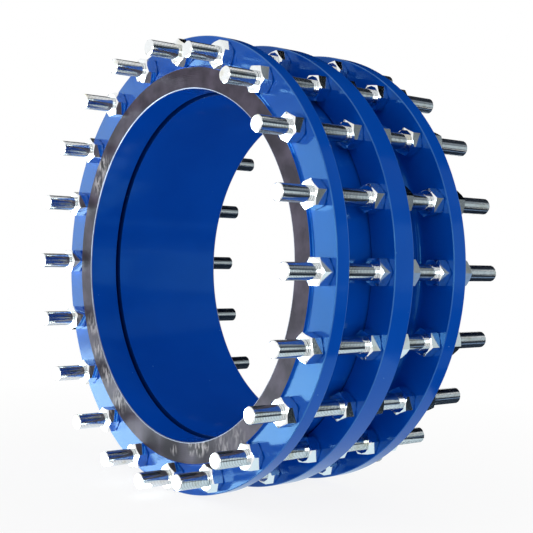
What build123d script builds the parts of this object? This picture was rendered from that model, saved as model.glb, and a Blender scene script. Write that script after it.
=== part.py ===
import os
from math import sqrt

from build123d import *
from build123d.topology import SkipClean

# Restrained dismantling joint for a DN 600 main, flanges drilled PN 10, millimetres.
# The pipe axis is X. The origin is the centre of the front sealing face, and the
# joint reaches from there along +X. A tie rod lies on the horizontal plane.

# Flanges of both ends, and the loose gland ring between them
raised_face_height = 5.0
body_flange_thickness = 30.0
spigot_flange_thickness = 34.0
gland_ring_thickness = 41.0
rim_chamfer = 1.5
bore_chamfer = 2.0
body_root_fillet = 6.0
spigot_root_fillet = 10.0

# Bolting, and the room between the bolts and what lies around them
bolt_circle_diameter = 725.0
bolt_count = 20
bolt_circle_to_rim = 27.5
bolt_hole_clearance = 2.0
rod_diameter = 27.0
rod_end_chamfer = 2.0
rod_front_reach = 74.0
rod_rear_reach = 90.0
nut_across_flats = 41.0
nut_height = 22.0
nut_bore_clearance = 0.05
nut_to_raised_face = 0.83
nut_to_barrel = 1.83

# Lengths along the pipe axis, as the joint stands in the photo
face_to_face = 292.0
throat_length = 56.0
body_length = 139.0
shoulder_gap = 6.0

# Walls from the barrel inwards to the waterway
barrel_wall = 16.5
chamber_clearance = 3.0
spigot_wall = 20.5
spigot_lead_length = 8.0
spigot_lead_depth = 4.0
throat_step = 4.0

# Seal: cone in the mouth of the body, wedge gasket, and the gland ring that squeezes it
cone_length = 15.0
cone_depth = 10.0
mouth_chamfer = 1.5
gland_lap = 14.5
gland_squeeze = 9.3
gland_bore_clearance = 2.5
gland_counterbore_clearance = 2.0
gasket_clearance = 0.3
gasket_tip_height = 2.5

# Radii, from the bolt circle outwards to the rim and inwards to the waterway
bolt_circle_radius = bolt_circle_diameter / 2
flange_radius = bolt_circle_radius + bolt_circle_to_rim
rod_radius = rod_diameter / 2
bolt_hole_radius = rod_radius + bolt_hole_clearance
nut_bore_radius = rod_radius + nut_bore_clearance
nut_flat_radius = nut_across_flats / 2
nut_corner_radius = nut_across_flats / sqrt(3)
raised_face_radius = bolt_circle_radius - nut_corner_radius - nut_to_raised_face
barrel_radius = bolt_circle_radius - nut_corner_radius - nut_to_barrel
chamber_radius = barrel_radius - barrel_wall
spigot_pipe_radius = chamber_radius - chamber_clearance
spigot_bore_radius = spigot_pipe_radius - spigot_wall
throat_radius = spigot_bore_radius + throat_step
mouth_radius = chamber_radius + cone_depth
gland_bore_radius = spigot_pipe_radius + gland_bore_clearance
gland_counterbore_radius = barrel_radius + gland_counterbore_clearance

# Places along the pipe axis that follow from the lengths
cone_start = body_length - cone_length
gland_front = body_length - gland_lap
gland_back = gland_front + gland_ring_thickness
gland_nose = body_length + gland_squeeze
spigot_tip = throat_length + shoulder_gap
spigot_flange_front = face_to_face - spigot_flange_thickness
spigot_bolting_face = face_to_face - raised_face_height
front_nuts_start = raised_face_height - nut_height
rear_nuts_end = spigot_bolting_face + nut_height
rod_front_tip = -rod_front_reach
rod_length = rod_front_reach + face_to_face + rod_rear_reach

os.makedirs("parts", exist_ok=True)


# Body: front flange with its raised sealing face, throat, barrel and seal cone in one casting
with BuildPart() as body:
    with BuildSketch(Plane.XY) as body_section:
        with BuildLine():
            Polyline(
                (0, throat_radius),
                (0, raised_face_radius),
                (raised_face_height, raised_face_radius),
                (raised_face_height, flange_radius),
                (body_flange_thickness, flange_radius),
                (body_flange_thickness, barrel_radius),
                (body_length, barrel_radius),
                (body_length, mouth_radius),
                (cone_start, chamber_radius),
                (throat_length, chamber_radius),
                (throat_length, throat_radius),
                close=True,
            )
        make_face()
        body_corners = body_section.vertices()
        root = body_corners.sort_by_distance((body_flange_thickness, barrel_radius))[0]
        fillet(root, radius=body_root_fillet)
        body_rim = body_section.vertices().group_by(Axis.Y)[-1]
        chamfer(body_rim, length=rim_chamfer)
        front_bore_edge = body_section.vertices().sort_by_distance((0, throat_radius))[0]
        chamfer(front_bore_edge, length=bore_chamfer)
        mouth_edge = body_section.vertices().sort_by_distance((body_length, barrel_radius))[0]
        chamfer(mouth_edge, length=mouth_chamfer)
    revolve(axis=Axis.X)
    with BuildSketch(Plane.YZ.offset(raised_face_height)):
        with PolarLocations(bolt_circle_radius, bolt_count):
            Circle(bolt_hole_radius)
    extrude(amount=body_flange_thickness - raised_face_height, mode=Mode.SUBTRACT)
body.part.label = "body"
export_step(body.part, "parts/body.step")


# Spigot: sliding pipe with a tapered lead, root fillet, and the rear flange in one casting
with BuildPart() as spigot:
    with BuildSketch(Plane.XY) as spigot_section:
        with BuildLine():
            Polyline(
                (spigot_tip, spigot_bore_radius),
                (spigot_tip, spigot_pipe_radius - spigot_lead_depth),
                (spigot_tip + spigot_lead_length, spigot_pipe_radius),
                (spigot_flange_front, spigot_pipe_radius),
                (spigot_flange_front, flange_radius),
                (spigot_bolting_face, flange_radius),
                (spigot_bolting_face, raised_face_radius),
                (face_to_face, raised_face_radius),
                (face_to_face, spigot_bore_radius),
                close=True,
            )
        make_face()
        spigot_corners = spigot_section.vertices()
        root = spigot_corners.sort_by_distance((spigot_flange_front, spigot_pipe_radius))[0]
        fillet(root, radius=spigot_root_fillet)
        spigot_rim = spigot_section.vertices().group_by(Axis.Y)[-1]
        chamfer(spigot_rim, length=rim_chamfer)
        rear_bore_edge = spigot_section.vertices().sort_by_distance((face_to_face, spigot_bore_radius))[0]
        chamfer(rear_bore_edge, length=bore_chamfer)
    revolve(axis=Axis.X)
    with BuildSketch(Plane.YZ.offset(spigot_flange_front)):
        with PolarLocations(bolt_circle_radius, bolt_count):
            Circle(bolt_hole_radius)
    extrude(amount=spigot_bolting_face - spigot_flange_front, mode=Mode.SUBTRACT)
spigot.part.label = "spigot"
export_step(spigot.part, "parts/spigot.step")


# Gland ring: counterbored over the mouth of the body, its inner shoulder presses the gasket
with BuildPart() as gland_ring:
    with BuildSketch(Plane.XY) as gland_section:
        with BuildLine():
            Polyline(
                (gland_front, gland_counterbore_radius),
                (gland_front, flange_radius),
                (gland_back, flange_radius),
                (gland_back, gland_bore_radius),
                (gland_nose, gland_bore_radius),
                (gland_nose, gland_counterbore_radius),
                close=True,
            )
        make_face()
        gland_rim = gland_section.vertices().group_by(Axis.Y)[-1]
        chamfer(gland_rim, length=rim_chamfer)
    revolve(axis=Axis.X)
    with BuildSketch(Plane.YZ.offset(gland_front)):
        with PolarLocations(bolt_circle_radius, bolt_count):
            Circle(bolt_hole_radius)
    extrude(amount=gland_ring_thickness, mode=Mode.SUBTRACT)
gland_ring.part.label = "gland_ring"
export_step(gland_ring.part, "parts/gland_ring.step")


# Gasket: rubber wedge, its slope against the cone and its flat back against the gland ring
gasket_inner_radius = spigot_pipe_radius + gasket_clearance
gasket_back = gland_nose - gasket_clearance
gasket_shoulder_radius = mouth_radius - gasket_clearance
gasket_tip_radius = gasket_inner_radius + gasket_tip_height
cone_slope = cone_depth / cone_length
gasket_slope_length = (gasket_shoulder_radius - gasket_tip_radius) / cone_slope
gasket_tip = body_length - gasket_slope_length
with BuildPart() as gasket:
    with BuildSketch(Plane.XY):
        with BuildLine():
            Polyline(
                (gasket_tip, gasket_inner_radius),
                (gasket_tip, gasket_tip_radius),
                (body_length, gasket_shoulder_radius),
                (gasket_back, gasket_shoulder_radius),
                (gasket_back, gasket_inner_radius),
                close=True,
            )
        make_face()
    revolve(axis=Axis.X)
gasket.part.label = "gasket"
export_step(gasket.part, "parts/gasket.step")


# Tie rods: full length, through all three rings, with a chamfer at each end. A line round each
# rod where its outer nuts end makes the free thread at either end a surface of its own.
with BuildPart() as rod_blank:
    with BuildSketch(Plane.YZ.offset(rod_front_tip)):
        Circle(rod_radius)
    extrude(amount=rod_length)
    rod_ends = rod_blank.edges().filter_by(GeomType.CIRCLE)
    chamfer(rod_ends, length=rod_end_chamfer)
    with SkipClean():
        with BuildSketch(Plane.YZ.offset(front_nuts_start)):
            Circle(rod_radius)
        extrude(amount=rear_nuts_end - front_nuts_start, clean=False)

rod_places = PolarLocations(bolt_circle_radius, bolt_count).local_locations
for number, place in enumerate(rod_places, start=1):
    with BuildPart() as tie_rod:
        add(rod_blank.part.moved(Location((0, place.position.X, place.position.Y))), clean=False)
    tie_rod.part.label = f"tie_rod_{number:02d}"
    export_step(tie_rod.part, f"parts/{tie_rod.part.label}.step")


# Nuts: one row of hexagon nuts for each face that they bear on, a corner of each pointing outwards
nut_rows = {
    "front_nuts": front_nuts_start,
    "gland_front_nuts": gland_front - nut_height,
    "gland_back_nuts": gland_back,
    "spigot_inner_nuts": spigot_flange_front - nut_height,
    "rear_nuts": spigot_bolting_face,
}
for row_name, row_start in nut_rows.items():
    with BuildPart() as nut_row:
        with BuildSketch(Plane.YZ.offset(row_start)):
            with PolarLocations(bolt_circle_radius, bolt_count):
                RegularPolygon(nut_flat_radius, side_count=6, major_radius=False)
                Circle(nut_bore_radius, mode=Mode.SUBTRACT)
        extrude(amount=nut_height)
    nut_row.part.label = row_name
    export_step(nut_row.part, f"parts/{row_name}.step")
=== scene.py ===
import random
from math import atan2, cos, pi, radians, sin, sqrt

import bpy
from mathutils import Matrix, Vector


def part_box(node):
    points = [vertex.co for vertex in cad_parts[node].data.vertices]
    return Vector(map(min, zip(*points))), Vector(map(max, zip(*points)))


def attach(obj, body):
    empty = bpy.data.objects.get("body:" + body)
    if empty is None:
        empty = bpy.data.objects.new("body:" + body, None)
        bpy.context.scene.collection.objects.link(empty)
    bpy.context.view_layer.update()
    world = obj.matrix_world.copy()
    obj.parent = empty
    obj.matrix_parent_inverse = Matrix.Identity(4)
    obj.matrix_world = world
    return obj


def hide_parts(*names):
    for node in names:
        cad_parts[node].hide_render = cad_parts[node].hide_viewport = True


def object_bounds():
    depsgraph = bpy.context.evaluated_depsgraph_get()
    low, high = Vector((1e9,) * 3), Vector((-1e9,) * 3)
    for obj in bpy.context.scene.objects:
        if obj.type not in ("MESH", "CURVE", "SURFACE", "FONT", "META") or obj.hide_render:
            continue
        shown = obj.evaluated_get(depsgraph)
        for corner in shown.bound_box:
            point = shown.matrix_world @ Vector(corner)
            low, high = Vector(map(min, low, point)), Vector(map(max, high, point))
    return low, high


# Restrained dismantling joint for a DN 600 main. The pipe axis is X, the front sealing face is at x = 0.
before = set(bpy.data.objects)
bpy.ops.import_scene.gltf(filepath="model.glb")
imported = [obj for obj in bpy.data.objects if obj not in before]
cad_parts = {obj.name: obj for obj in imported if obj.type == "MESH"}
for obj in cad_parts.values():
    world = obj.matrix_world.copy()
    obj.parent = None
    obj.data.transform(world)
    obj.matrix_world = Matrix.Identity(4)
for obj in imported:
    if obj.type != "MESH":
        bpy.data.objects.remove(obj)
cadBox = [list(corner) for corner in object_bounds()]
mm = 0.001
touching = 0.01 * mm  # points no further apart than this are one point
dice = random.Random(27)
print("frame loaded,", len(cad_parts), "nodes")


# Small tools for modelling
def selectNothing():
    if bpy.context.object and bpy.context.object.mode != "OBJECT":
        bpy.ops.object.mode_set(mode="OBJECT")
    bpy.ops.object.select_all(action="DESELECT")


def selectOnly(pieces):
    selectNothing()
    for piece in pieces:
        piece.select_set(True)
    bpy.context.view_layer.objects.active = pieces[0]


def settle():
    # place, turn and scale go into the mesh, so that the object stays at the origin
    bpy.ops.object.transform_apply(location=True, rotation=True, scale=True)


def selectPoints(piece, isWanted):
    # in edit mode, selects the vertices whose place passes the test
    bpy.ops.mesh.select_mode(type="VERT")
    bpy.ops.mesh.select_all(action="DESELECT")
    bpy.ops.object.mode_set(mode="OBJECT")
    for vertex in piece.data.vertices:
        vertex.select = isWanted(vertex.co)
    bpy.ops.object.mode_set(mode="EDIT")


def applyModifier(piece, kind, **settings):
    selectOnly([piece])
    modifier = piece.modifiers.new(kind.lower(), kind)
    for name, value in settings.items():
        setattr(modifier, name, value)
    bpy.ops.object.modifier_apply(modifier=modifier.name)


def cleanMesh(piece, weldDistance=touching):
    selectOnly([piece])
    bpy.ops.object.mode_set(mode="EDIT")
    bpy.ops.mesh.select_all(action="SELECT")
    bpy.ops.mesh.remove_doubles(threshold=weldDistance)
    bpy.ops.mesh.normals_make_consistent(inside=False)
    bpy.ops.object.mode_set(mode="OBJECT")


def shade(piece, sharpAngle):
    selectOnly([piece])
    bpy.ops.object.shade_smooth_by_angle(angle=radians(sharpAngle))


def drawProfile(name, points):
    # one vertex, pulled from corner to corner; a point starts with x and radius in mm
    selectNothing()
    bpy.ops.mesh.primitive_plane_add(size=mm, location=(points[0][0] * mm, points[0][1] * mm, 0))
    piece = bpy.context.object
    piece.name = piece.data.name = name
    settle()
    bpy.ops.object.mode_set(mode="EDIT")
    bpy.ops.mesh.select_mode(type="VERT")
    bpy.ops.mesh.select_all(action="SELECT")
    bpy.ops.mesh.merge(type="CENTER")
    for here, there in zip(points, points[1:]):
        step = ((there[0] - here[0]) * mm, (there[1] - here[1]) * mm, 0)
        bpy.ops.mesh.extrude_vertices_move(TRANSFORM_OT_translate={"value": step})
    return piece


def paint(piece, coat, *others):
    # the coat goes everywhere, then each further finish where its test of (x, radius) in mm says so
    piece.data.materials.append(coat)
    for number, (finish, isWanted) in enumerate(others, start=1):
        piece.data.materials.append(finish)
        for face in piece.data.polygons:
            if isWanted(face.center.x / mm, Vector((face.center.y, face.center.z)).length / mm):
                face.material_index = number


# Small tools for materials. A Mix node has sockets of the same name for every kind of value, so the two
# colours that go in and the one that comes out go by their numbers
colourA, colourB, colourOut = 6, 7, 2


def linear(hexColour):
    # the sRGB curve, and a full alpha
    channels = [int(hexColour[i : i + 2], 16) / 255 for i in (1, 3, 5)]
    return [c / 12.92 if c <= 0.04045 else ((c + 0.055) / 1.055) ** 2.4 for c in channels] + [1]


def perMetre(size):
    # the Scale of a pattern whose patches are of this size in mm
    return 1 / (size * mm)


def addNode(tree, kind, inputs=None, **settings):
    # adds a node with its settings; an input is a value, or the socket that feeds it
    node = tree.nodes.new(kind)
    for name, value in settings.items():
        setattr(node, name, value)
    for name, value in (inputs or {}).items():
        if isinstance(value, bpy.types.NodeSocket):
            tree.links.new(value, node.inputs[name])
        else:
            node.inputs[name].default_value = value
    return node


def newMaterial(name):
    # the material, its node tree, its shader, and the place of each point on the object
    material = bpy.data.materials.new(name)
    material.use_nodes = True
    tree = material.node_tree
    place = addNode(tree, "ShaderNodeTexCoord").outputs["Object"]
    return material, tree, tree.nodes["Principled BSDF"], place


# Fusion-bonded epoxy on sand-cast ductile iron, baked: deep glossy blue, a slow waviness left by the
# casting, a fine orange peel, slightly lighter where the film is thin. On the roundings of the rims a paler
# blue is painted on, a painted highlight where the light catches those edges
epoxy = {
    "deep": "#0145aa", "thin": "#0352be", "speck": "#5f96cf", "mirrorTint": "#8cf2e4",
    # edge colours: a paler blue, the painted highlight on the rims' roundings; groove colours: painted shade
    # on the spigot's tip
    "highlightDeep": "#0b4db0", "highlightThin": "#4a82cc", "grooveShadeDeep": "#00225f", "grooveShadeThin": "#002a70",
    # sizes of the patterns in mm
    "filmPatch": 110, "castingWave": 28, "orangePeel": 5, "speckSpacing": 16,
    # a speck's radius as a share of the spacing, and the share of the places that have none
    "speckRadius": 0.055, "speckless": 0.88,
    # strength and depth in mm of the waves and of the peel
    "waveStrength": 0.25, "waveDepth": 0.6, "peelStrength": 0.2, "peelDepth": 0.1,
    "smoothest": 0.1, "roughest": 0.17, "metallic": 0.04, "ior": 1.5, "mirror": 0.35, "grooveMirror": 0.04,
}


def makeEpoxy(name, deep, thin, mirror):
    material, tree, shader, place = newMaterial(name)
    film = addNode(tree, "ShaderNodeTexNoise", {
        "Vector": place, "Scale": perMetre(epoxy["filmPatch"]), "Detail": 3})
    tone = addNode(tree, "ShaderNodeMix", {
        "Factor": film.outputs["Fac"], colourA: linear(deep), colourB: linear(thin)}, data_type="RGBA")
    # a few pale specks of dust that were baked into the film
    dust = addNode(tree, "ShaderNodeTexVoronoi", {"Vector": place, "Scale": perMetre(epoxy["speckSpacing"])})
    near = addNode(tree, "ShaderNodeMath", {
        0: dust.outputs["Distance"], 1: epoxy["speckRadius"]}, operation="LESS_THAN")
    chosen = addNode(tree, "ShaderNodeSeparateColor", {0: dust.outputs["Color"]})
    rare = addNode(tree, "ShaderNodeMath", {
        0: chosen.outputs[0], 1: epoxy["speckless"]}, operation="GREATER_THAN")
    speck = addNode(tree, "ShaderNodeMath", {0: near.outputs[0], 1: rare.outputs[0]}, operation="MULTIPLY")
    speckled = addNode(tree, "ShaderNodeMix", {
        "Factor": speck.outputs[0], colourA: tone.outputs[colourOut], colourB: linear(epoxy["speck"]),
    }, data_type="RGBA")
    tree.links.new(speckled.outputs[colourOut], shader.inputs["Base Color"])
    rough = addNode(tree, "ShaderNodeMapRange", {
        "Value": film.outputs["Fac"], "To Min": epoxy["smoothest"], "To Max": epoxy["roughest"]})
    tree.links.new(rough.outputs[0], shader.inputs["Roughness"])
    wave = addNode(tree, "ShaderNodeTexNoise", {
        "Vector": place, "Scale": perMetre(epoxy["castingWave"]), "Detail": 1})
    peel = addNode(tree, "ShaderNodeTexNoise", {
        "Vector": place, "Scale": perMetre(epoxy["orangePeel"]), "Detail": 2})
    slow = addNode(tree, "ShaderNodeBump", {
        "Height": wave.outputs["Fac"], "Strength": epoxy["waveStrength"],
        "Distance": epoxy["waveDepth"] * mm})
    fine = addNode(tree, "ShaderNodeBump", {
        "Height": peel.outputs["Fac"], "Strength": epoxy["peelStrength"],
        "Distance": epoxy["peelDepth"] * mm, "Normal": slow.outputs[0]})
    tree.links.new(fine.outputs[0], shader.inputs["Normal"])
    shader.inputs["IOR"].default_value = epoxy["ior"]
    shader.inputs["Specular IOR Level"].default_value = mirror
    shader.inputs["Specular Tint"].default_value = linear(epoxy["mirrorTint"])
    shader.inputs["Metallic"].default_value = epoxy["metallic"]
    return material


# Bare ductile iron, faced on a lathe and left unpainted: brown-grey, with the concentric grooves of the
# tool, scratches across them, bright scuffs with dirt in them where it was handled, and dark dull patches
# of painted shade beside the nuts and along the bottom
machined = {
    "iron": "#504756", "dark": "#342d39", "scuff": "#bab2b4", "dirt": "#1d191d", "paintedShade": "#1f1c22",
    # sizes of the patterns in mm, and the squeeze of the scratches' Z, which makes them longer along it
    "groovePitch": 3.2, "stain": 45, "scratch": 7, "scratchSqueeze": 0.4,
    # where a noise begins to show, and where it shows fully
    "stainFrom": 0.38, "stainFull": 0.62, "gritFrom": 0.46, "gritFull": 0.58,
    # strength and depth in mm of the unevenness, and the grooves' share in it
    "bumpStrength": 0.35, "bumpDepth": 0.15, "grooveShare": 0.5,
    "cleanRoughness": 0.28, "patchRoughness": 0.6, "metallic": 0.05, "mirror": 0.07,
    # inside this share of its size a patch is at full strength
    "patchCore": 0.3,
    # y and z of the middle and size in mm, strength
    "scuffs": [
        (278, 148, 26, 0.8), (262, 180, 26, 1), (288, -122, 30, 0.45), (266, -170, 26, 0.5),
        (232, -212, 26, 0.7), (186, -258, 30, 0.5), (4, -318, 12, 0.5), (-48, -306, 16, 0.7),
        (-72, -303, 18, 1), (-88, -296, 14, 0.9), (-135, -290, 28, 0.35), (-175, -268, 24, 0.3),
    ],
    # painted shade: dark dull patches beside the nuts, where their shadows and mirror images fall, and along
    # the bottom
    "shadePatches": [
        (10, -318, 62, 0.9), (-100, -312, 46, 0.7), (72, -316, 40, 0.8), (248, -206, 26, 0.8),
        (302, -109, 24, 0.7), (320, 0, 22, 0.8), (306, 107, 20, 0.6), (170, -275, 26, 0.7),
        (-236, 212, 50, 0.6),
    ],
}


def softPatches(tree, across, spots):
    # soft round patches, each the stronger of itself and what lies under it
    patch = None
    for y, z, size, strength in spots:
        away = addNode(tree, "ShaderNodeVectorMath", {
            0: across, 1: (0, y * mm, z * mm)}, operation="DISTANCE")
        spot = addNode(tree, "ShaderNodeMapRange", {
            "Value": away.outputs["Value"], "From Min": size * mm,
            "From Max": machined["patchCore"] * size * mm, "To Max": strength})
        if patch is None:
            patch = spot.outputs[0]
        else:
            stronger = addNode(tree, "ShaderNodeMath", {0: patch, 1: spot.outputs[0]}, operation="MAXIMUM")
            patch = stronger.outputs[0]
    return patch


def makeMachinedIron():
    material, tree, shader, place = newMaterial("faced_ductile_iron")
    parts = addNode(tree, "ShaderNodeSeparateXYZ", {0: place})
    across = addNode(tree, "ShaderNodeCombineXYZ", {"Y": parts.outputs["Y"], "Z": parts.outputs["Z"]})
    radius = addNode(tree, "ShaderNodeVectorMath", {0: across.outputs[0]}, operation="LENGTH")
    turns = addNode(tree, "ShaderNodeMath", {
        0: radius.outputs["Value"], 1: 2 * pi * perMetre(machined["groovePitch"])}, operation="MULTIPLY")
    groove = addNode(tree, "ShaderNodeMath", {0: turns.outputs[0]}, operation="SINE")
    stain = addNode(tree, "ShaderNodeTexNoise", {
        "Vector": place, "Scale": perMetre(machined["stain"]), "Detail": 6})
    scratchPlace = addNode(tree, "ShaderNodeMapping", {
        "Vector": place, "Scale": (1, 1, machined["scratchSqueeze"])})
    scratch = addNode(tree, "ShaderNodeTexNoise", {
        "Vector": scratchPlace.outputs[0], "Scale": perMetre(machined["scratch"]), "Detail": 4})
    stained = addNode(tree, "ShaderNodeMapRange", {
        "Value": stain.outputs["Fac"], "From Min": machined["stainFrom"], "From Max": machined["stainFull"]})
    tone = addNode(tree, "ShaderNodeMix", {
        "Factor": stained.outputs[0], colourA: linear(machined["dark"]), colourB: linear(machined["iron"]),
    }, data_type="RGBA")
    # the patches of painted shade darken the colour and dull the face
    shadePatch = softPatches(tree, across.outputs[0], machined["shadePatches"])
    shadedTone = addNode(tree, "ShaderNodeMix", {
        "Factor": shadePatch, colourA: tone.outputs[colourOut], colourB: linear(machined["paintedShade"])}, data_type="RGBA")
    dull = addNode(tree, "ShaderNodeMapRange", {
        "Value": shadePatch, "To Min": machined["cleanRoughness"], "To Max": machined["patchRoughness"]})
    tree.links.new(dull.outputs[0], shader.inputs["Roughness"])
    # the scuffs are broken up by the scratches
    grit = addNode(tree, "ShaderNodeMapRange", {
        "Value": scratch.outputs["Fac"], "From Min": machined["gritFrom"], "From Max": machined["gritFull"]})
    worn = addNode(tree, "ShaderNodeMix", {
        "Factor": grit.outputs[0], colourA: linear(machined["dirt"]), colourB: linear(machined["scuff"]),
    }, data_type="RGBA")
    scuffed = addNode(tree, "ShaderNodeMix", {
        "Factor": softPatches(tree, across.outputs[0], machined["scuffs"]), colourA: shadedTone.outputs[colourOut],
        colourB: worn.outputs[colourOut]}, data_type="RGBA")
    tree.links.new(scuffed.outputs[colourOut], shader.inputs["Base Color"])
    height = addNode(tree, "ShaderNodeMath", {
        0: groove.outputs[0], 1: machined["grooveShare"], 2: scratch.outputs["Fac"],
    }, operation="MULTIPLY_ADD")
    bump = addNode(tree, "ShaderNodeBump", {
        "Height": height.outputs[0], "Strength": machined["bumpStrength"],
        "Distance": machined["bumpDepth"] * mm})
    tree.links.new(bump.outputs[0], shader.inputs["Normal"])
    shader.inputs["Metallic"].default_value = machined["metallic"]
    shader.inputs["Specular IOR Level"].default_value = machined["mirror"]
    return material


# The same iron where the tool broke the sharp edge of a bore: freshly cut and bright, painted lighter still
# as a painted highlight along the bore's edge, duller in patches
cutEdgeHighlight = {"cut": "#a2a8bc", "dull": "#3c3f4c", "patch": 60, "metallic": 0.6, "roughness": 0.35}


def makeCutEdgeHighlight():
    material, tree, shader, place = newMaterial("turned_iron_edge_with_painted_highlight")
    patch = addNode(tree, "ShaderNodeTexNoise", {
        "Vector": place, "Scale": perMetre(cutEdgeHighlight["patch"]), "Detail": 3})
    tone = addNode(tree, "ShaderNodeMix", {
        "Factor": patch.outputs["Fac"],
        colourA: linear(cutEdgeHighlight["dull"]), colourB: linear(cutEdgeHighlight["cut"])}, data_type="RGBA")
    tree.links.new(tone.outputs[colourOut], shader.inputs["Base Color"])
    shader.inputs["Metallic"].default_value = cutEdgeHighlight["metallic"]
    shader.inputs["Roughness"].default_value = cutEdgeHighlight["roughness"]
    return material


# Bright electroplated zinc over rolled and cut steel: near mirror, cool white, a faint straw bloom of the
# passivation in places. In the grooves of a thread it is painted dark and dull: painted shade
zinc = {
    "plate": "#f0f3f4", "bloom": "#cfc6a4", "grooveShadePlate": "#4a525e", "grooveShadeBloom": "#393e48",
    # sizes of the patterns in mm, and where the bloom begins to show and shows fully
    "bloomPatch": 24, "haze": 3, "bloomFrom": 0.55, "bloomFull": 0.95,
    "smoothest": 0.06, "roughest": 0.16, "grooveSmoothest": 0.3, "grooveRoughest": 0.5,
}


def makeZinc(name, plate, bloom, smoothest, roughest):
    material, tree, shader, place = newMaterial(name)
    patch = addNode(tree, "ShaderNodeTexNoise", {
        "Vector": place, "Scale": perMetre(zinc["bloomPatch"]), "Detail": 2})
    share = addNode(tree, "ShaderNodeMapRange", {
        "Value": patch.outputs["Fac"], "From Min": zinc["bloomFrom"], "From Max": zinc["bloomFull"]})
    tone = addNode(tree, "ShaderNodeMix", {
        "Factor": share.outputs[0], colourA: linear(plate), colourB: linear(bloom)}, data_type="RGBA")
    tree.links.new(tone.outputs[colourOut], shader.inputs["Base Color"])
    haze = addNode(tree, "ShaderNodeTexNoise", {
        "Vector": place, "Scale": perMetre(zinc["haze"]), "Detail": 2})
    rough = addNode(tree, "ShaderNodeMapRange", {
        "Value": haze.outputs["Fac"], "To Min": smoothest, "To Max": roughest})
    tree.links.new(rough.outputs[0], shader.inputs["Roughness"])
    shader.inputs["Metallic"].default_value = 1
    return material


# Compression-moulded EPDM: matt black, with the dull bloom of the mould
rubber = {
    "black": "#141416", "bloom": "#26272a", "bloomPatch": 18, "grain": 1.2,
    "grainStrength": 0.3, "grainDepth": 0.1, "roughness": 0.55,
}


def makeRubber():
    material, tree, shader, place = newMaterial("moulded_epdm_rubber")
    bloom = addNode(tree, "ShaderNodeTexNoise", {
        "Vector": place, "Scale": perMetre(rubber["bloomPatch"]), "Detail": 4})
    tone = addNode(tree, "ShaderNodeMix", {
        "Factor": bloom.outputs["Fac"], colourA: linear(rubber["black"]), colourB: linear(rubber["bloom"]),
    }, data_type="RGBA")
    tree.links.new(tone.outputs[colourOut], shader.inputs["Base Color"])
    grain = addNode(tree, "ShaderNodeTexNoise", {
        "Vector": place, "Scale": perMetre(rubber["grain"]), "Detail": 1})
    bump = addNode(tree, "ShaderNodeBump", {
        "Height": grain.outputs["Fac"], "Strength": rubber["grainStrength"],
        "Distance": rubber["grainDepth"] * mm})
    tree.links.new(bump.outputs[0], shader.inputs["Normal"])
    shader.inputs["Roughness"].default_value = rubber["roughness"]
    return material


epoxyBlue = makeEpoxy("epoxy_coated_ductile_iron", epoxy["deep"], epoxy["thin"], epoxy["mirror"])
# the same film in a paler blue: a painted highlight on the rims' roundings
epoxyRimHighlight = makeEpoxy("epoxy_with_painted_rim_highlight", epoxy["highlightDeep"], epoxy["highlightThin"], epoxy["mirror"])
# the same film, painted dark and dull on the spigot's tip deep in the groove: painted shade
epoxyGrooveShade = makeEpoxy(
    "epoxy_painted_shade_in_the_groove", epoxy["grooveShadeDeep"], epoxy["grooveShadeThin"], epoxy["grooveMirror"])
machinedIron = makeMachinedIron()
# bright cut iron at the bores' edges, painted lighter as a highlight
turnedEdgeHighlight = makeCutEdgeHighlight()
zincPlate = makeZinc("zinc_plated_steel", zinc["plate"], zinc["bloom"], zinc["smoothest"], zinc["roughest"])
# the plate painted dark in the thread's grooves: painted shade
zincGrooveShade = makeZinc(
    "zinc_painted_shade_in_the_thread", zinc["grooveShadePlate"], zinc["grooveShadeBloom"],
    zinc["grooveSmoothest"], zinc["grooveRoughest"])
epdmRubber = makeRubber()
print("materials made")


# What the castings share, in mm and degrees
joint = {
    "boltCircle": 725, "bolts": 20, "holeDiameter": 31, "holeLip": 0.6, "drillSides": 40,
    "segments": 240, "cornerSteps": 4, "sharpAngle": 28, "flatWeight": 80,
    "rimRounding": 1.5, "boreRounding": 1.8, "raisedRoot": 3.4, "brokenEdge": 0.6,
    # how far in from its edges a rim gets its painted highlight, and how far the bright cut of a bore's edge,
    # with its painted highlight, reaches
    "rimHighlight": 1.4, "boreHighlightFrom": 0.02, "boreHighlightTo": 1.9,
}
boltRadius = joint["boltCircle"] / 2
boltAngles = [2 * pi * number / joint["bolts"] for number in range(joint["bolts"])]


def turnCasting(name, corners):
    # draws the section (x, radius, rounding of that corner), rounds its corners and spins it round the
    # pipe axis
    piece = drawProfile(name, corners)
    ends = [Vector((x * mm, radius * mm, 0)) for x, radius, rounding in (corners[0], corners[-1])]
    selectPoints(piece, lambda place: min((place - end).length for end in ends) < touching)
    bpy.ops.mesh.edge_face_add()
    for x, radius, rounding in corners:
        if rounding:
            corner = Vector((x * mm, radius * mm, 0))
            selectPoints(piece, lambda place: (place - corner).length < touching)
            bpy.ops.mesh.bevel(
                offset=rounding * mm, segments=joint["cornerSteps"], affect="VERTICES", clamp_overlap=False)
    bpy.ops.mesh.select_all(action="SELECT")
    bpy.ops.mesh.spin(steps=joint["segments"], angle=2 * pi, center=(0, 0, 0), axis=(1, 0, 0))
    bpy.ops.object.mode_set(mode="OBJECT")
    cleanMesh(piece)
    return piece


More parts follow.
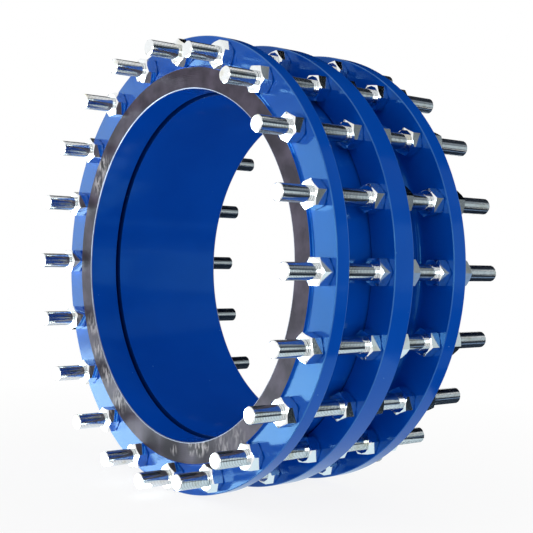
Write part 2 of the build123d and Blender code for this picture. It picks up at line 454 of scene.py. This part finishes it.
def drillBoltHoles(piece, start, end):
    # twenty drills cut away in one go; one lip below each face a drill begins to widen, at 45 degrees, and it
    # ends one lip above
    lip = joint["holeLip"]
    spread = 1 + 4 * lip / joint["holeDiameter"]
    drills = []
    for angle in boltAngles:
        selectNothing()
        bpy.ops.mesh.primitive_cylinder_add(
            vertices=joint["drillSides"], radius=joint["holeDiameter"] / 2 * mm,
            depth=(end - start - 2 * lip) * mm,
            location=((start + end) / 2 * mm, boltRadius * cos(angle) * mm, boltRadius * sin(angle) * mm),
            rotation=(0, pi / 2, 0))
        drill = bpy.context.object
        middle = drill.location.copy()
        settle()
        bpy.ops.object.mode_set(mode="EDIT")
        for side in (-1, 1):
            selectPoints(drill, lambda place: side * (place.x - middle.x) > 0)
            bpy.ops.mesh.extrude_region_move(TRANSFORM_OT_translate={"value": (side * 2 * lip * mm, 0, 0)})
            bpy.ops.transform.resize(value=(1, spread, spread), center_override=middle)
        bpy.ops.object.mode_set(mode="OBJECT")
        drills.append(drill)
    selectOnly(drills)
    bpy.ops.object.join()
    applyModifier(piece, "BOOLEAN", operation="DIFFERENCE", solver="EXACT", object=drills[0])
    selectOnly([drills[0]])
    bpy.ops.object.delete()


def isRimHighlight(x, radius, front, back, flange):
    # the two roundings of a rim, where the painted highlight goes, told by the middles of their faces
    pale = joint["rimHighlight"]
    return radius > flange - pale and (x < front + pale or x > back - pale)


def isBoreHighlight(depth, radius, bore):
    # the rounding between a sealing face and the bore, bright cut iron with a painted highlight, its depth
    # counted from that face
    return joint["boreHighlightFrom"] < depth < joint["boreHighlightTo"] and radius < bore + joint["boreHighlightTo"]


def finishCasting(piece, body, node):
    shade(piece, joint["sharpAngle"])
    applyModifier(piece, "WEIGHTED_NORMAL", keep_sharp=True, weight=joint["flatWeight"])
    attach(piece, body)
    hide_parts(node)


# Body: front flange with the raised sealing face, throat, barrel and seal cone
body = {
    "throat": 301, "raisedFace": 338, "raised": 5, "flange": 390, "flangeBack": 30, "barrel": 337,
    "length": 139, "mouth": 330.5, "coneStart": 124, "chamber": 320.5, "throatEnd": 56,
    "faceRounding": 1.4, "root": 6, "mouthRounding": 1.5, "chamberRounding": 0.8, "shoulderRounding": 1.6,
    "bareDepth": 0.08,
}


def makeBody():
    piece = turnCasting("body_casting", [
        (0, body["throat"], joint["boreRounding"]),
        (0, body["raisedFace"], body["faceRounding"]),
        (body["raised"], body["raisedFace"], joint["raisedRoot"]),
        (body["raised"], body["flange"], joint["rimRounding"]),
        (body["flangeBack"], body["flange"], joint["rimRounding"]),
        (body["flangeBack"], body["barrel"], body["root"]),
        (body["length"], body["barrel"], body["mouthRounding"]),
        (body["length"], body["mouth"], joint["brokenEdge"]),
        (body["coneStart"], body["chamber"], 0),
        (body["throatEnd"], body["chamber"], body["chamberRounding"]),
        (body["throatEnd"], body["throat"], body["shoulderRounding"]),
    ])
    drillBoltHoles(piece, body["raised"], body["flangeBack"])
    paint(
        piece, epoxyBlue,
        (machinedIron, lambda x, radius: x < body["bareDepth"]),
        # bright cut iron with a painted highlight along the bore's edge
        (turnedEdgeHighlight, lambda x, radius: isBoreHighlight(x, radius, body["throat"])),
        # a painted highlight on the rounded edges of the rim
        (epoxyRimHighlight, lambda x, radius: isRimHighlight(
            x, radius, body["raised"], body["flangeBack"], body["flange"])))
    finishCasting(piece, "body_side", "body")


makeBody()
print("body turned, drilled and painted")


# Spigot: sliding pipe with a tapered lead, root fillet and the rear flange
spigot = {
    "tip": 62, "bore": 297, "pipe": 317.5, "leadLength": 8, "leadDepth": 4, "flangeFront": 258,
    "flange": 390, "boltingFace": 287, "raisedFace": 338, "end": 292,
    "tipRounding": 0.4, "leadRounding": 1, "root": 10, "bareDepth": 0.5, "grooveShadeDepth": 0.3,
}


def makeSpigot():
    piece = turnCasting("spigot_casting", [
        (spigot["tip"], spigot["bore"], spigot["tipRounding"]),
        (spigot["tip"], spigot["pipe"] - spigot["leadDepth"], spigot["leadRounding"]),
        (spigot["tip"] + spigot["leadLength"], spigot["pipe"], 0),
        (spigot["flangeFront"], spigot["pipe"], spigot["root"]),
        (spigot["flangeFront"], spigot["flange"], joint["rimRounding"]),
        (spigot["boltingFace"], spigot["flange"], joint["rimRounding"]),
        (spigot["boltingFace"], spigot["raisedFace"], joint["raisedRoot"]),
        (spigot["end"], spigot["raisedFace"], joint["brokenEdge"]),
        (spigot["end"], spigot["bore"], joint["boreRounding"]),
    ])
    drillBoltHoles(piece, spigot["flangeFront"], spigot["boltingFace"])
    paint(
        piece, epoxyBlue,
        # painted shade: the tip face deep in the groove is painted dark
        (epoxyGrooveShade, lambda x, radius: x < spigot["tip"] + spigot["grooveShadeDepth"]),
        (machinedIron, lambda x, radius: x > spigot["end"] - spigot["bareDepth"]),
        # bright cut iron with a painted highlight along the bore's edge
        (turnedEdgeHighlight, lambda x, radius: isBoreHighlight(spigot["end"] - x, radius, spigot["bore"])),
        # a painted highlight on the rounded edges of the rim
        (epoxyRimHighlight, lambda x, radius: isRimHighlight(
            x, radius, spigot["flangeFront"], spigot["boltingFace"], spigot["flange"])))
    finishCasting(piece, "spigot_side", "spigot")


makeSpigot()
print("spigot turned, drilled and painted")


# Gland ring: counterbored over the mouth of the body
gland = {
    "front": 124.5, "back": 165.5, "nose": 148.3, "flange": 390, "counterbore": 339, "bore": 320,
    "rounding": 1,
}


def makeGlandRing():
    piece = turnCasting("gland_ring_casting", [
        (gland["front"], gland["counterbore"], gland["rounding"]),
        (gland["front"], gland["flange"], joint["rimRounding"]),
        (gland["back"], gland["flange"], joint["rimRounding"]),
        (gland["back"], gland["bore"], gland["rounding"]),
        (gland["nose"], gland["bore"], joint["brokenEdge"]),
        (gland["nose"], gland["counterbore"], gland["rounding"]),
    ])
    drillBoltHoles(piece, gland["front"], gland["back"])
    paint(
        piece, epoxyBlue,
        # a painted highlight on the rounded edges of the rim
        (epoxyRimHighlight, lambda x, radius: isRimHighlight(x, radius, gland["front"], gland["back"], gland["flange"])))
    finishCasting(piece, "gland_side", "gland_ring")


makeGlandRing()
print("gland ring turned, drilled and painted")


# Gasket: the rubber wedge between cone, spigot and gland ring
gasket = {
    "tip": 128.1, "inner": 317.8, "tipHeight": 2.5, "mouth": 139, "shoulder": 330.2, "back": 148,
    "tipRounding": 0.5, "shoulderRounding": 1.5, "backRounding": 1.2, "innerRounding": 0.8,
}


def makeGasket():
    piece = turnCasting("wedge_gasket", [
        (gasket["tip"], gasket["inner"], gasket["tipRounding"]),
        (gasket["tip"], gasket["inner"] + gasket["tipHeight"], gasket["tipRounding"]),
        (gasket["mouth"], gasket["shoulder"], gasket["shoulderRounding"]),
        (gasket["back"], gasket["shoulder"], gasket["backRounding"]),
        (gasket["back"], gasket["inner"], gasket["innerRounding"]),
    ])
    paint(piece, epdmRubber)
    finishCasting(piece, "body_side", "gasket")


makeGasket()
print("gasket moulded")


# Tie rods: rolled thread from end to end. The crests are wide and the grooves shallow, drawn finer than real
# ones, so that long reflections run along the rod. The plate in the grooves is painted dark and dull, painted
# shade, so that they read as fine dark lines; the upper share of a groove's depth keeps the bright plate
rod = {
    "diameter": 27, "pitch": 3, "grooveDepth": 0.45, "crest": 2.1, "root": 0.3, "brightShare": 0.25,
    "chamfer": 2, "sides": 16, "spareTurns": 3, "sharpAngle": 25,
}


def makeRod():
    # the thread is wound past both ends, cut off at the chamfers, and closed by pulling each cut to its end
    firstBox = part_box("tie_rod_01")
    start, end = firstBox[0].x / mm, firstBox[1].x / mm
    flank = (rod["pitch"] - rod["crest"] - rod["root"]) / 2
    crestRadius = rod["diameter"] / 2
    rootRadius = crestRadius - rod["grooveDepth"]
    piece = drawProfile("tie_rod", [
        (start - rod["pitch"], crestRadius),
        (start - rod["pitch"] + rod["crest"], crestRadius),
        (start - rod["pitch"] + rod["crest"] + flank, rootRadius),
        (start - rod["pitch"] + rod["crest"] + flank + rod["root"], rootRadius),
        (start, crestRadius),
    ])
    bpy.ops.object.mode_set(mode="OBJECT")
    turns = int((end - start) / rod["pitch"]) + rod["spareTurns"]
    applyModifier(
        piece, "SCREW", angle=2 * pi, screw_offset=rod["pitch"] * mm, iterations=turns, axis="X",
        steps=rod["sides"], render_steps=rod["sides"], use_merge_vertices=True, merge_threshold=touching)
    cleanMesh(piece)
    bpy.ops.object.mode_set(mode="EDIT")
    narrowed = 1 - rod["chamfer"] / crestRadius
    for tip, side in ((start, -1), (end, 1)):
        bpy.ops.mesh.select_all(action="SELECT")
        bpy.ops.mesh.bisect(
            plane_co=((tip - side * rod["chamfer"]) * mm, 0, 0), plane_no=(side, 0, 0),
            use_fill=True, clear_outer=True, threshold=touching)
        bpy.ops.mesh.extrude_region_move(TRANSFORM_OT_translate={"value": (side * rod["chamfer"] * mm, 0, 0)})
        bpy.ops.transform.resize(value=(1, narrowed, narrowed), center_override=(tip * mm, 0, 0))
    bpy.ops.object.mode_set(mode="OBJECT")
    cleanMesh(piece)
    # radii are taken at the middle of a face, so the sixteen flat sides are allowed for
    grooveTop = (crestRadius - rod["brightShare"] * rod["grooveDepth"]) * cos(pi / rod["sides"])
    # painted shade: the grooves of the thread are painted dark
    paint(piece, zincPlate, (zincGrooveShade, lambda x, radius: radius < grooveTop and (
        start + rod["chamfer"] < x < end - rod["chamfer"])))
    return piece


def placeRods(pattern):
    for number in range(1, joint["bolts"] + 1):
        node = f"tie_rod_{number:02d}"
        low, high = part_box(node)
        selectOnly([pattern])
        bpy.ops.object.duplicate(linked=False)
        copy = bpy.context.object
        copy.name = copy.data.name = f"threaded_{node}"
        copy.location = (0, (low.y + high.y) / 2, (low.z + high.z) / 2)
        copy.rotation_euler.x = dice.uniform(0, 2 * pi)
        settle()
        shade(copy, rod["sharpAngle"])
        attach(copy, "body_side")
        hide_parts(node)
    selectOnly([pattern])
    bpy.ops.object.delete()


placeRods(makeRod())
print("tie rods threaded and placed")


# Nuts: hexagon nuts chamfered at 30 degrees on both faces, a corner of each pointing outwards
nut = {
    "acrossFlats": 41, "height": 22, "bore": 27.1, "chamferCircle": 38.6, "points": 12, "nearZero": 0.1,
    "weld": 0.001, "sharpAngle": 25,
}
nutRows = {
    # row of the frame: the body that it rides on
    "front_nuts": "front_nut_row",
    "gland_front_nuts": "gland_side",
    "gland_back_nuts": "gland_side",
    "spigot_inner_nuts": "spigot_side",
    "rear_nuts": "rear_nut_row",
}


def isHexagonCorner(place):
    # every other one of the twelve points: the sine is 0 there, and 1 or -1 between them
    return abs(sin(3 * atan2(place.z, place.y))) < nut["nearZero"]


def makeNut():
    # rings of twelve points, from the bore out over one face, along the flats and back over the other
    # face; then the points that are corners are pulled out to the hexagon
    flat = nut["acrossFlats"] / 2
    corner = nut["acrossFlats"] / sqrt(3)
    bore = nut["bore"] / 2
    face = nut["chamferCircle"] / 2
    flatDrop, cornerDrop = ((radius - face) / sqrt(3) for radius in (flat, corner))
    selectNothing()
    bpy.ops.mesh.primitive_circle_add(vertices=nut["points"], radius=bore * mm, rotation=(0, pi / 2, 0))
    piece = bpy.context.object
    piece.name = "nut"
    settle()
    bpy.ops.object.mode_set(mode="EDIT")
    bpy.ops.mesh.select_mode(type="EDGE")
    bpy.ops.mesh.select_all(action="SELECT")
    rings = [
        # radius before and after, and the step along the axis
        (bore, face, 0),
        (face, flat, flatDrop),
        (flat, flat, nut["height"] - 2 * flatDrop),
        (flat, face, flatDrop),
        (face, bore, 0),
    ]
    for before, after, along in rings:
        bpy.ops.mesh.extrude_edges_move(TRANSFORM_OT_translate={"value": (along * mm, 0, 0)})
        bpy.ops.transform.resize(value=(1, after / before, after / before), center_override=(0, 0, 0))
    bpy.ops.mesh.select_mode(type="EDGE")
    bpy.ops.mesh.select_all(action="DESELECT")
    bpy.ops.mesh.select_non_manifold()
    bpy.ops.mesh.bridge_edge_loops()
    for ringPlace, inwards in ((flatDrop, 1), (nut["height"] - flatDrop, -1)):
        selectPoints(piece, lambda place: abs(place.x - ringPlace * mm) < touching and isHexagonCorner(place))
        bpy.ops.transform.resize(value=(1, corner / flat, corner / flat), center_override=(0, 0, 0))
        bpy.ops.transform.translate(value=(inwards * (cornerDrop - flatDrop) * mm, 0, 0))
    bpy.ops.object.mode_set(mode="OBJECT")
    cleanMesh(piece, nut["weld"] * mm)
    shade(piece, nut["sharpAngle"])
    paint(piece, zincPlate)
    return piece


def makeNutRows(pattern):
    copies = []
    for angle in boltAngles:
        selectOnly([pattern])
        bpy.ops.object.duplicate(linked=False)
        copy = bpy.context.object
        copy.location = (0, boltRadius * cos(angle) * mm, boltRadius * sin(angle) * mm)
        copy.rotation_euler.x = angle
        settle()
        copies.append(copy)
    selectOnly(copies)
    bpy.ops.object.join()
    row = copies[0]
    for node, bodyName in nutRows.items():
        selectOnly([row])
        bpy.ops.object.duplicate(linked=False)
        piece = bpy.context.object
        piece.name = piece.data.name = f"hexagon_{node}"
        piece.location.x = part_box(node)[0].x
        settle()
        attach(piece, bodyName)
        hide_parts(node)
    selectOnly([pattern, row])
    bpy.ops.object.delete()


makeNutRows(makeNut())
print("nuts made, five rows")


# Studio: white paper floor and white surroundings. Lengths are in metres, but the drop of the floor and of
# the cards below the joint is in mm. To the camera the floor glows white, less the shadow's share near the
# joint; to the joint it glows like a light table, by the share given here
studio = {
    "paper": "#f4f4f4", "paperRoughness": 0.9, "floorSize": 14, "floorDrop": 0.3, "cardDrop": 0.2,
    "shadowShare": 0.12, "shadowFrom": 0.5, "shadowTo": 1.6, "lightTable": 0.6, "ambient": 0.68,
}
white = (1, 1, 1, 1)


def isSeen(tree):
    # 1 for rays from the camera, and for what metal and glass mirror
    path = addNode(tree, "ShaderNodeLightPath")
    mirrored = addNode(tree, "ShaderNodeMath", {
        0: path.outputs["Is Glossy Ray"], 1: path.outputs["Is Transmission Ray"]}, operation="MAXIMUM")
    seen = addNode(tree, "ShaderNodeMath", {
        0: path.outputs["Is Camera Ray"], 1: mirrored.outputs[0]}, operation="MAXIMUM")
    return seen.outputs[0]


def makeFloor():
    selectNothing()
    height = cadBox[0][2] - studio["floorDrop"] * mm
    bpy.ops.mesh.primitive_plane_add(size=studio["floorSize"], location=(0, 0, height))
    floor = bpy.context.object
    floor.name = "paper_floor"
    settle()
    material, tree, shader, place = newMaterial("white_paper")
    shader.inputs["Base Color"].default_value = linear(studio["paper"])
    shader.inputs["Roughness"].default_value = studio["paperRoughness"]
    # plain paper has no gloss, so that the glowing cards that lie on it leave no edge
    shader.inputs["Specular IOR Level"].default_value = 0
    away = addNode(tree, "ShaderNodeVectorMath", {0: place}, operation="LENGTH")
    fade = addNode(tree, "ShaderNodeMapRange", {
        "Value": away.outputs["Value"], "From Min": studio["shadowFrom"], "From Max": studio["shadowTo"],
        "To Min": 1 - studio["shadowShare"], "To Max": 1})
    share = addNode(tree, "ShaderNodeMix", {
        "Factor": isSeen(tree), "A": studio["lightTable"], "B": fade.outputs[0]})
    glow = addNode(tree, "ShaderNodeEmission", {"Color": white, "Strength": 1})
    mixed = addNode(tree, "ShaderNodeMixShader", {
        0: share.outputs[0], 1: shader.outputs[0], 2: glow.outputs[0]})
    tree.links.new(mixed.outputs[0], tree.nodes["Material Output"].inputs["Surface"])
    floor.data.materials.append(material)


def makeWorld():
    world = bpy.data.worlds.new("white_room")
    bpy.context.scene.world = world
    world.use_nodes = True
    tree = world.node_tree
    light = tree.nodes["Background"]
    light.inputs["Color"].default_value = white
    light.inputs["Strength"].default_value = studio["ambient"]
    backdrop = addNode(tree, "ShaderNodeBackground", {"Color": white, "Strength": 1})
    mixed = addNode(tree, "ShaderNodeMixShader", {
        0: isSeen(tree), 1: light.outputs[0], 2: backdrop.outputs[0]})
    tree.links.new(mixed.outputs[0], tree.nodes["World Output"].inputs["Surface"])


# Cards round the set, seen only by what mirrors them: pale ones give the flange faces their sheen, dark ones
# draw the lines along the rods and keep the glossy blue deep. Place and size in metres, tone, and the
# strength of its glow; a card faces the joint, or lies on the floor
floorTop = cadBox[0][2] - studio["cardDrop"] * mm
cards = {
    "white_card_far_left": ((-1.0, 2.9, 0.12), (1.3, 1.45), "#ecfbff", 2.9),
    "white_card_left": ((-2.2, 2.2, 0.02), (1.5, 1.25), "#ecfbff", 4.2),
    "white_card_on_floor": ((-0.97, 1.05, floorTop), (1.86, 2.3), "#ecfbff", 8.5),
    "white_card_behind_camera": ((-2.75, -1.6, 0.1), (3.2, 1.4), "#ecfbff", 5),
    "dark_card_behind_left": ((0.95, 1.95, 0.35), (1.5, 1.5), "#05080c", 1),
    "dark_card_rear_high": ((1.5, 0.35, 1.2), (2.8, 1.5), "#05080c", 1),
    "grey_card_right_high": ((1.9, -1.1, 1.6), (1.5, 1.4), "#8a9298", 1),
    "grey_card_right": ((2.2, -2.0, 0.85), (0.7, 2.5), "#6c747a", 1),
    "dark_card_right": ((1.48, -2.55, 0.85), (1.2, 2.5), "#2c343c", 1),
    "white_strip_right": ((1.65, -2.45, 0.22), (0.26, 0.9), "#ecfbff", 0.9),
    "white_strip_rear_right": ((1.95, -1.88, 0.25), (0.65, 1.0), "#ecfbff", 0.65),
    "grey_card_floor_far_right": ((1.4, -1.85, floorTop), (2.4, 1.14), "#6a7278", 1),
    "dark_card_floor_right": ((0.7, -0.96, floorTop), (1.6, 0.64), "#1c252e", 1),
    "blue_card_floor_right": ((0.2, -0.36, floorTop), (0.6, 0.56), "#e0f2fa", 1),
    "dark_card_floor_rear": ((0.95, 0.175, floorTop), (1.1, 0.85), "#18222d", 1),
    "dark_card_floor_rear_right": ((1.0, -0.385, floorTop), (1.0, 0.27), "#18222d", 1),
    "blue_card_floor_rear_right": ((1.0, -0.58, floorTop), (1.0, 0.12), "#8098b8", 1),
    "dark_card_behind_right": ((-0.75, -2.6, 0.55), (1.6, 1.3), "#18222d", 1),
    "dark_card_floor_left": ((0.75, 1.15, floorTop), (1.5, 1.2), "#18222d", 1),
}


def makeCards():
    for name, (middle, size, tone, strength) in cards.items():
        selectNothing()
        bpy.ops.mesh.primitive_plane_add(size=1, location=middle)
        plane = bpy.context.object
        plane.name = name
        plane.scale = (*size, 1)
        if middle[2] != floorTop:
            plane.rotation_euler = (-Vector(middle)).to_track_quat("Z", "Y").to_euler()
        settle()
        material, tree, shader, place = newMaterial(name)
        glow = addNode(tree, "ShaderNodeEmission", {"Color": linear(tone), "Strength": strength})
        tree.links.new(glow.outputs[0], tree.nodes["Material Output"].inputs["Surface"])
        plane.data.materials.append(material)
        plane.visible_camera = plane.visible_diffuse = plane.visible_shadow = False


# Soft boxes: a large one in front and to the left, a weak one on the right. Nothing mirrors them, the cards
# stand for them there
lamps = {
    # place and aim in metres, size of the soft box in metres, power in watts
    "front_left_box": {"place": (-2.7, 0.9, 0.25), "aim": (0.05, 0, 0), "size": 2.4, "power": 15},
    "right_box": {"place": (0.6, -2.6, 0.4), "aim": (0.1, 0, 0), "size": 2.0, "power": 3},
}


def makeLamps():
    for name, lamp in lamps.items():
        selectNothing()
        bpy.ops.object.light_add(type="AREA", location=lamp["place"])
        box = bpy.context.object
        box.name = name
        box.rotation_euler = (Vector(lamp["aim"]) - Vector(lamp["place"])).to_track_quat("-Z", "Y").to_euler()
        box.data.size = lamp["size"]
        box.data.energy = lamp["power"]
        box.visible_camera = box.visible_glossy = False


# Camera: in front of the joint, to the left of its axis and level with it. Place in metres, turn in degrees,
# lens and sensor in mm
camera = {
    "place": (-1.02759, -1.49565, 0.02488), "turn": (89.2618, -1.4509, -39.1869), "lens": 71.23, "sensor": 36,
}


def makeCamera():
    selectNothing()
    bpy.ops.object.camera_add(location=camera["place"], rotation=[radians(angle) for angle in camera["turn"]])
    eye = bpy.context.object
    eye.data.lens = camera["lens"]
    eye.data.sensor_width = camera["sensor"]
    eye.data.dof.use_dof = False
    bpy.context.scene.camera = eye


makeFloor()
makeWorld()
makeCards()
makeLamps()
makeCamera()
bpy.context.scene.view_settings.view_transform = "Standard"
print("studio set")

selectNothing()
